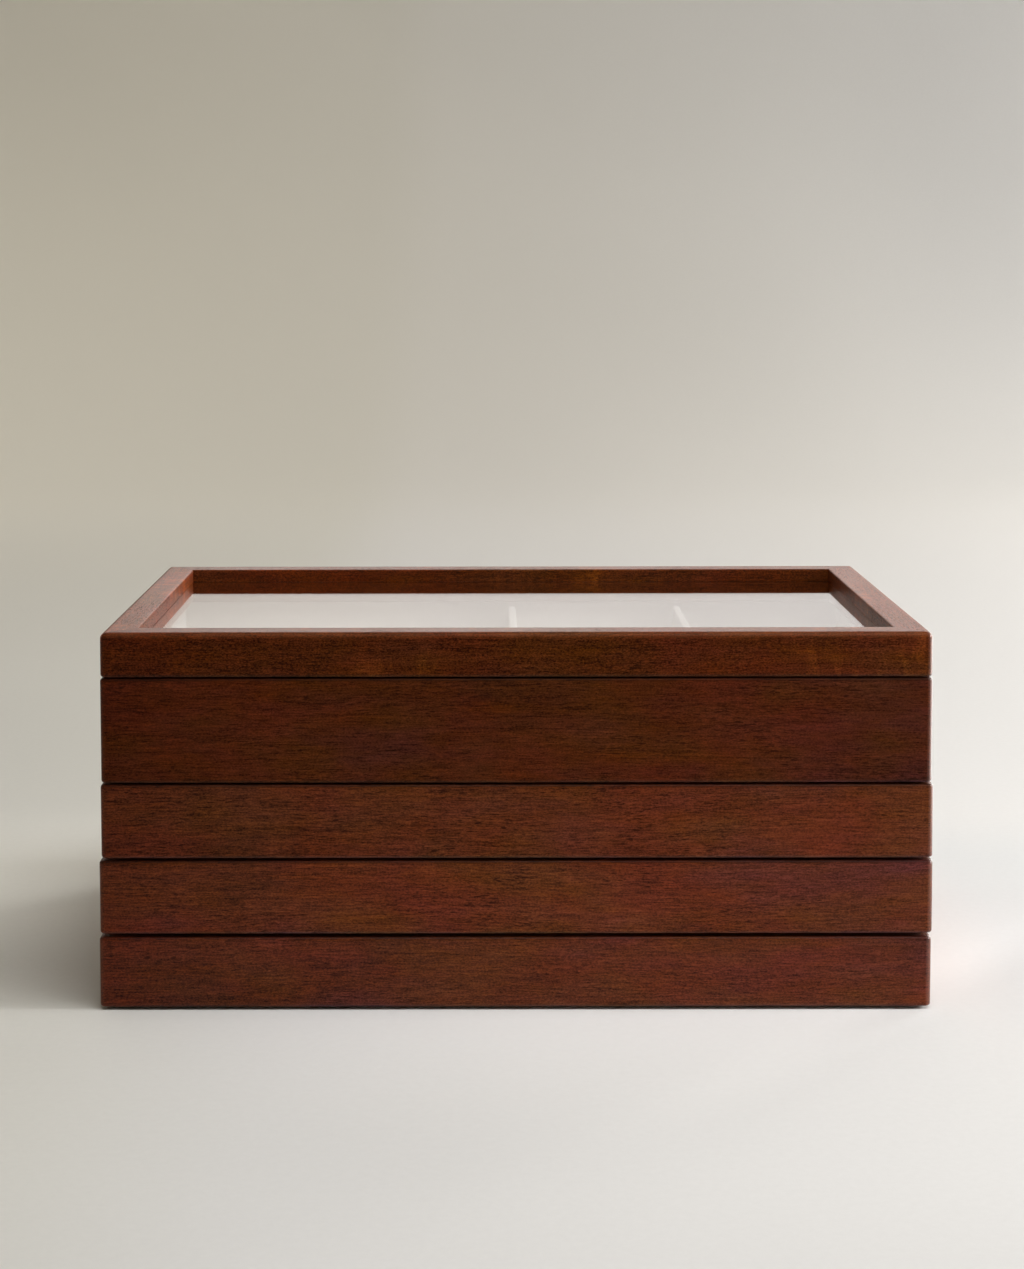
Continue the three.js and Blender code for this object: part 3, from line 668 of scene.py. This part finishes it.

# on the lower trays the plum patches and the bluer tone are partly stain and partly a painted pinkish sheen
TRAYS = {
    "top_tray": dict(grain=1.08, patch=1.2, tone=(0.72, 0.70, 0.68), plum=0.10, painted_cool_sheen_right=0.9),
    "second_tray": dict(grain=1.12, painted_middle_shading=0.12, tone=(1.0, 1.04, 1.20), plum=0.35, sheen=(1.0, 0.75, 0.65)),
    "third_tray": dict(grain=1.10, painted_middle_shading=0.10, tone=(1.08, 1.08, 1.15), plum=0.40, sheen=(1.0, 0.85, 0.85), painted_cool_sheen_right=0.5),
    "bottom_tray": dict(grain=0.92, tone=(1.02, 1.03, 1.15), plum=0.50, sheen=(1.0, 0.95, 1.0), crown=-0.4, painted_cool_sheen_right=0.7),
}
RADIUS = 2.0 * MM
seed = 100
for tray, look in TRAYS.items():
    rect, (z0, z1) = corners_of(tray + "_")
    outline, flag = tray_section(z0, z1)
    for side in ("front", "right", "back", "left"):
        seed += 1
        part = dict(look, plum=look["plum"] * (1.0 if side == "front" else 0.5))
        m = wood(f"wood_{tray}_{side}", "X" if side in ("front", "back") else "Y", seed,
                 painted_light_slope=1.0 if side == "front" else 0.0, **part)
        o = board(f"{tray}_{side}", side, rect, outline, flag, RADIUS, m, tray)
        if tray == "top_tray" and side == "back":
            recess_for_hinges(o, "top_tray_back", 1)
    base_board(f"{tray}_base", tray, panel, tray != "bottom_tray")
    liner(f"{tray}_liner", tray, lining)

for name in nodes:
    if "divider" in name:
        covered_strip(name, name.split("_divider")[0], strip_cloth, "X" if name.endswith("cross") else "Y")

ring_pad("second_tray_ring_pad", "second_tray", lining)
for name in nodes:
    if name.startswith("foot_"):
        felt_pad(name, "bottom_tray", felt)

rect, (z0, z1) = corners_of("lid_", suffix="_rail")
bead_rect, (b0, b1) = corners_of("lid_bead_")
outline, flag = lid_section(z0, z1)
bead_outline, bead_flag = section([(0, b0, 0.2 * MM, 2), (3.7 * MM, b0, 0.9 * MM, 4), (3.7 * MM, b1, 0.2 * MM, 2), (0, b1, 0, 0)])
for side in ("front", "right", "back", "left"):
    seed += 1
    # painted light: the side rails are made lighter, and their beads lighter still, for the lamp light on their inner
    # faces
    k = 1.3 if side == "left" else 1.25 if side == "right" else 1.0
    m = wood(f"wood_lid_{side}", "X" if side in ("front", "back") else "Y", seed, grain=1.06, mottle=0.9, crown=0.22,
             tone=(0.77 * k, 0.73 * k, 0.59 * k), plum=0.0, patch=1.2, painted_light_slope=1.0 if side == "front" else 0.0, painted_middle_shading=-0.11, painted_cool_sheen_right=0.3, figure=0.8)
    o = board(f"lid_{side}_rail", side, rect, outline, flag, RADIUS, m, "lid")
    if side == "back":
        recess_for_hinges(o, "lid_back_rail", -1)
    m = wood(f"wood_bead_{side}", "X" if side in ("front", "back") else "Y", seed + 50, grain=1.0, mottle=0.6, crown=0.1,
             tone=(0.74 * k * k, 0.68 * k * k, 0.56 * k * k), plum=0.0, patch=1.0)
    board(f"lid_bead_{side}", side, bead_rect, bead_outline, bead_flag, 0.0, m, "lid", gap=0.06 * MM)
pane("lid_glass", "lid", glass_material())

for name, o in nodes.items():
    if name.startswith("hinge_"):
        eased(o, 0.10 * MM, brass)
    elif name.startswith("screw_"):
        eased(o, 0.04 * MM, brass_screw)

# -------------------------------------------------------------------- stage
def stage_material():
    n = Net("pale_sweep")
    p = n.add("ShaderNodeTexCoord").outputs["Object"]
    grain = n.noise(p, scale=350, detail=3, rough=0.7)
    col = n.mix(n.remap(grain, 0.3, 0.7), (0.74, 0.735, 0.725), (0.76, 0.755, 0.745))
    sep = n.add("ShaderNodeSeparateXYZ", {0: p})
    far = n.remap(sep.outputs["Y"], 0.6, 2.6, smooth=True)
    left = n.remap(sep.outputs["X"], 0.9, -0.7, smooth=True)
    # painted warm light: the paper far back on the left is tinted yellower
    col = n.mix(n.math("MULTIPLY", far, left), col, (0.86, 0.835, 0.765))
    x, y = sep.outputs["X"], sep.outputs["Y"]

    def patch(rise, fall, x0, x1, gain):
        f = n.math("MULTIPLY", n.remap(y, *rise, smooth=True), n.remap(y, *fall, smooth=True))
        return n.math("MULTIPLY", f, n.remap(x, x0, x1, 0, gain, smooth=True))

    # corrections by place, set to the photograph's levels, not a property of
    # the paper: paler where it bends up, and just in front of the box
    # painted light: paler where the paper bends up, and in front of the box where its own shade falls
    pale = n.math("ADD", patch((0.9, 1.7), (2.9, 2.4), 0.75, 0.45, 0.07), patch((0.9, 1.6), (2.4, 1.8), -0.05, 0.3, 0.07))
    slant = n.math("SUBTRACT", x, n.math("MULTIPLY", n.math("ADD", y, 0.0946), 0.8))
    width = n.math("MULTIPLY", n.remap(slant, 0.145, 0.105, smooth=True), n.remap(x, -0.17, 0.03, smooth=True))
    width = n.math("MULTIPLY", width, n.remap(y, 0.06, -0.05, smooth=True))
    near = n.math("MULTIPLY", width, n.remap(y, -0.235, -0.095, 0, 0.185, smooth=True))
    # painted light inside the box's own shadow on the left, which the lamps cast too dark,
    # and painted shade behind it, at the far right and close to the camera
    close = n.math("ADD", patch((-0.13, -0.06), (0.22, 0.10), -0.13, -0.18, 0.10), patch((-0.04, 0.04), (0.17, 0.09), -0.13, -0.18, 0.17))
    dull = n.math("ADD", patch((0.12, 0.22), (0.60, 0.30), -0.10, -0.20, -0.06), patch((1.4, 1.9), (2.95, 2.5), 0.40, 0.85, -0.09))
    dull = n.math("ADD", dull, n.remap(y, -0.22, -0.30, 0, -0.05, smooth=True))
    k = n.math("ADD", n.math("ADD", 1.0, n.math("ADD", pale, near)), n.math("ADD", close, dull))
    col = n.mix(1.0, col, n.add("ShaderNodeCombineColor", {0: k, 1: k, 2: k}).outputs[0], "MULTIPLY")
    # painted shade: the floor left of the box is darker and yellower, half as much further back
    warm = n.math("MULTIPLY", n.remap(x, -0.06, -0.18, smooth=True), n.remap(y, 2.4, 0.8, 0.4, 1.0, smooth=True))
    col = n.mix(warm, col, n.mix(1.0, col, (0.935, 0.93, 0.88), "MULTIPLY"))
    # painted shade: the floor just right of the box is a little darker and less pink
    right = n.math("MULTIPLY", n.remap(x, 0.15, 0.19, smooth=True), n.math("MULTIPLY", n.remap(y, -0.13, -0.08, smooth=True), n.remap(y, 0.2, 0.1, smooth=True)))
    col = n.mix(right, col, n.mix(1.0, col, (0.92, 0.945, 0.96), "MULTIPLY"))
    bsdf = n.add("ShaderNodeBsdfPrincipled", {"Base Color": col, "Roughness": 0.9, "Specular IOR Level": 0.1})
    return n.finish(bsdf.outputs[0])


def sweep():
    """Floor that curves up into the backdrop."""
    prof = [(-6.0, 0.0), (1.6, 0.0)]
    for k in range(1, 13):
        t = math.radians(90 * k / 12)
        prof.append((1.6 + 1.4 * math.sin(t), 1.4 * (1 - math.cos(t))))
    prof.append((3.0, 5.0))
    verts, faces = [], []
    for x in (-6.0, 6.0):
        verts += [(x, y, z) for y, z in prof]
    n = len(prof)
    for i in range(n - 1):
        faces.append((i, n + i, n + i + 1, i + 1))
    me = bpy.data.meshes.new("sweep")
    me.from_pydata(verts, [], faces)
    for poly in me.polygons:
        poly.use_smooth = True
    me.materials.append(stage_material())
    o = bpy.data.objects.new("floor_sweep", me)
    scene.collection.objects.link(o)


sweep()

def area(name, where, aim, size, power, colour=(1, 1, 1), **seen):
    l = bpy.data.lights.new(name, "AREA")
    l.shape = "RECTANGLE"
    l.size, l.size_y = size
    l.energy = power
    l.color = colour
    o = bpy.data.objects.new(name, l)
    scene.collection.objects.link(o)
    o.location = where
    d = Vector(aim) - Vector(where)
    o.rotation_euler = d.to_track_quat("-Z", "Y").to_euler()
    for k, v in seen.items():
        setattr(o, "visible_" + k, v)
    return o


def graded(lamp, a, b, low, high):
    """A panel whose brightness climbs smoothly along its width."""
    lamp.data.use_nodes = True
    nt = lamp.data.node_tree
    em = next(nd for nd in nt.nodes if nd.type == "EMISSION")
    geo, sep, ramp = (nt.nodes.new(t) for t in ("ShaderNodeNewGeometry", "ShaderNodeSeparateXYZ", "ShaderNodeMapRange"))
    ramp.interpolation_type = "SMOOTHSTEP"
    for k, v in zip(("From Min", "From Max", "To Min", "To Max"), (a, b, low, high)):
        ramp.inputs[k].default_value = v
    nt.links.new(geo.outputs["Parametric"], sep.inputs[0])
    nt.links.new(sep.outputs["X"], ramp.inputs["Value"])
    nt.links.new(ramp.outputs["Result"], em.inputs["Strength"])


def studio_world():
    """Pale all round to the eye; as a light it is dim in front of the box."""
    w = bpy.data.worlds.new("studio")
    w.use_nodes = True
    nt = w.node_tree
    nt.nodes.clear()
    new = nt.nodes.new
    tc, sep, ramp = new("ShaderNodeTexCoord"), new("ShaderNodeSeparateXYZ"), new("ShaderNodeMapRange")
    nt.links.new(tc.outputs["Generated"], sep.inputs[0])
    nt.links.new(sep.outputs["Y"], ramp.inputs["Value"])
    ramp.inputs["From Min"].default_value = -0.7
    ramp.inputs["From Max"].default_value = 0.2
    ramp.inputs["To Min"].default_value = 0.25
    ramp.inputs["To Max"].default_value = 1.0
    lp, mul, mix = new("ShaderNodeLightPath"), new("ShaderNodeMath"), new("ShaderNodeMixShader")
    mul.operation = "MULTIPLY"
    nt.links.new(ramp.outputs["Result"], mul.inputs[0])
    mul.inputs[1].default_value = 0.25
    bg, seen, out = new("ShaderNodeBackground"), new("ShaderNodeBackground"), new("ShaderNodeOutputWorld")
    bg.inputs["Color"].default_value = (1.0, 0.87, 0.64, 1)
    nt.links.new(mul.outputs[0], bg.inputs["Strength"])
    seen.inputs["Color"].default_value = (0.46, 0.445, 0.415, 1)
    nt.links.new(lp.outputs["Is Camera Ray"], mix.inputs[0])
    nt.links.new(bg.outputs[0], mix.inputs[1])
    nt.links.new(seen.outputs[0], mix.inputs[2])
    nt.links.new(mix.outputs[0], out.inputs[0])
    scene.world = w
    return mul.inputs[1]


def flag():
    """A black card low in front of the box, out of shot: only light that comes
    down on it is stopped, so what it shades is the front of the box."""
    n = Net("black_card")
    dark = n.add("ShaderNodeBsdfDiffuse", {"Color": (0.02, 0.018, 0.015, 1)})
    clear = n.add("ShaderNodeBsdfTransparent")
    back = n.add("ShaderNodeNewGeometry").outputs["Backfacing"]
    mat = n.finish(n.add("ShaderNodeMixShader", {0: back, 1: dark.outputs[0], 2: clear.outputs[0]}).outputs[0])
    me = bpy.data.meshes.new("flag")
    me.from_pydata([(-3, -3.2, 0.004), (3, -3.2, 0.004), (3, -0.42, 0.004), (-3, -0.42, 0.004)], [], [(0, 1, 2, 3)])
    me.materials.append(mat)
    o = bpy.data.objects.new("floor_flag", me)
    scene.collection.objects.link(o)
    o.visible_camera = False
    o.visible_shadow = False
    o.visible_transmission = False


world_level = studio_world()
flag()
area("key_right", (1.42, -0.15, 0.60), (0, -0.086, 0.05), (0.30, 0.5), 16, (1.0, 0.985, 0.985), camera=False)
area("key_wide", (1.05, 0.85, 0.62), (0, 0, 0.05), (0.7, 0.5), 4.3, (1.0, 0.985, 0.98), camera=False)
area("overhead", (0.25, -0.34, 1.05), (0.18, -0.10, 0), (0.8, 0.5), 6.5, (0.97, 0.975, 0.98), camera=False)
area("front_right", (0.75, -0.80, 0.30), (0.05, -0.085, 0.06), (0.3, 0.3), 0.6, (1.0, 0.97, 0.95), camera=False)
area("wash_right", (1.7, 1.5, 0.42), (0.5, 1.9, 0.0), (0.8, 0.4), 22.3, (1.0, 0.98, 0.955), camera=False)
area("wash_left", (-2.2, 1.2, 0.9), (-0.7, 2.9, 0.25), (0.9, 0.7), 2.6, (1.0, 0.94, 0.80), camera=False)
area("fill_left", (-0.7, 1.4, 1.2), (-0.7, 1.5, 0), (0.9, 0.6), 3.0, (1.0, 0.95, 0.86), camera=False)
low = area("sheen_low", (0.2, 2.3, 0.485), (0, 0, 0.12), (3.2, 0.27), 1.8, (1.0, 0.93, 0.935), camera=False, diffuse=False)
graded(low, 0.60, 0.80, 0.745, 0.35)
area("sheen_high", (0.8, 2.3, 0.97), (0, 0, 0.12), (3.2, 0.7), 26, (1.0, 0.87, 0.82), camera=False, diffuse=False)
area("sheen_right", (0.34, 0.06, 0.07), (0.14, 0.02, 0.05), (0.34, 0.14), 0.55, (1.0, 0.98, 0.96), camera=False, diffuse=False)

# lamps that face away from the box and only light the floor far behind, left
# and right of the camera, so that the other sides are seen against a pale floor
for name, x, y in (("far_front", 0.0, -1.0), ("far_left", -1.0, 0.0), ("far_right", 1.0, 0.0)):
    area(name, (x * 2.5, y * 2.5, 3.0), (x * 4.5, y * 4.5, 1.5), (4.0, 1.5), 62, (1.0, 0.985, 0.96), camera=False)

# ------------------------------------------------------------------- camera
cam = bpy.data.objects.new("camera", bpy.data.cameras.new("camera"))
scene.collection.objects.link(cam)
cam.data.sensor_width = 36.0
cam.data.lens = 36.0 * 2300 / 1269
cam.data.shift_x = 0.0243
cam.data.shift_y = -0.16
cam.data.clip_start = 0.01
cam.data.clip_end = 100
turn = (Matrix.Rotation(math.radians(0.09), 4, "Z") @ Matrix.Rotation(math.radians(90 - 4.205), 4, "X")
        @ Matrix.Rotation(math.radians(-0.092), 4, "Z"))
cam.matrix_world = Matrix.Translation((-0.01017, -0.84835, 0.25235)) @ turn
scene.camera = cam
scene.view_settings.view_transform = "Standard"
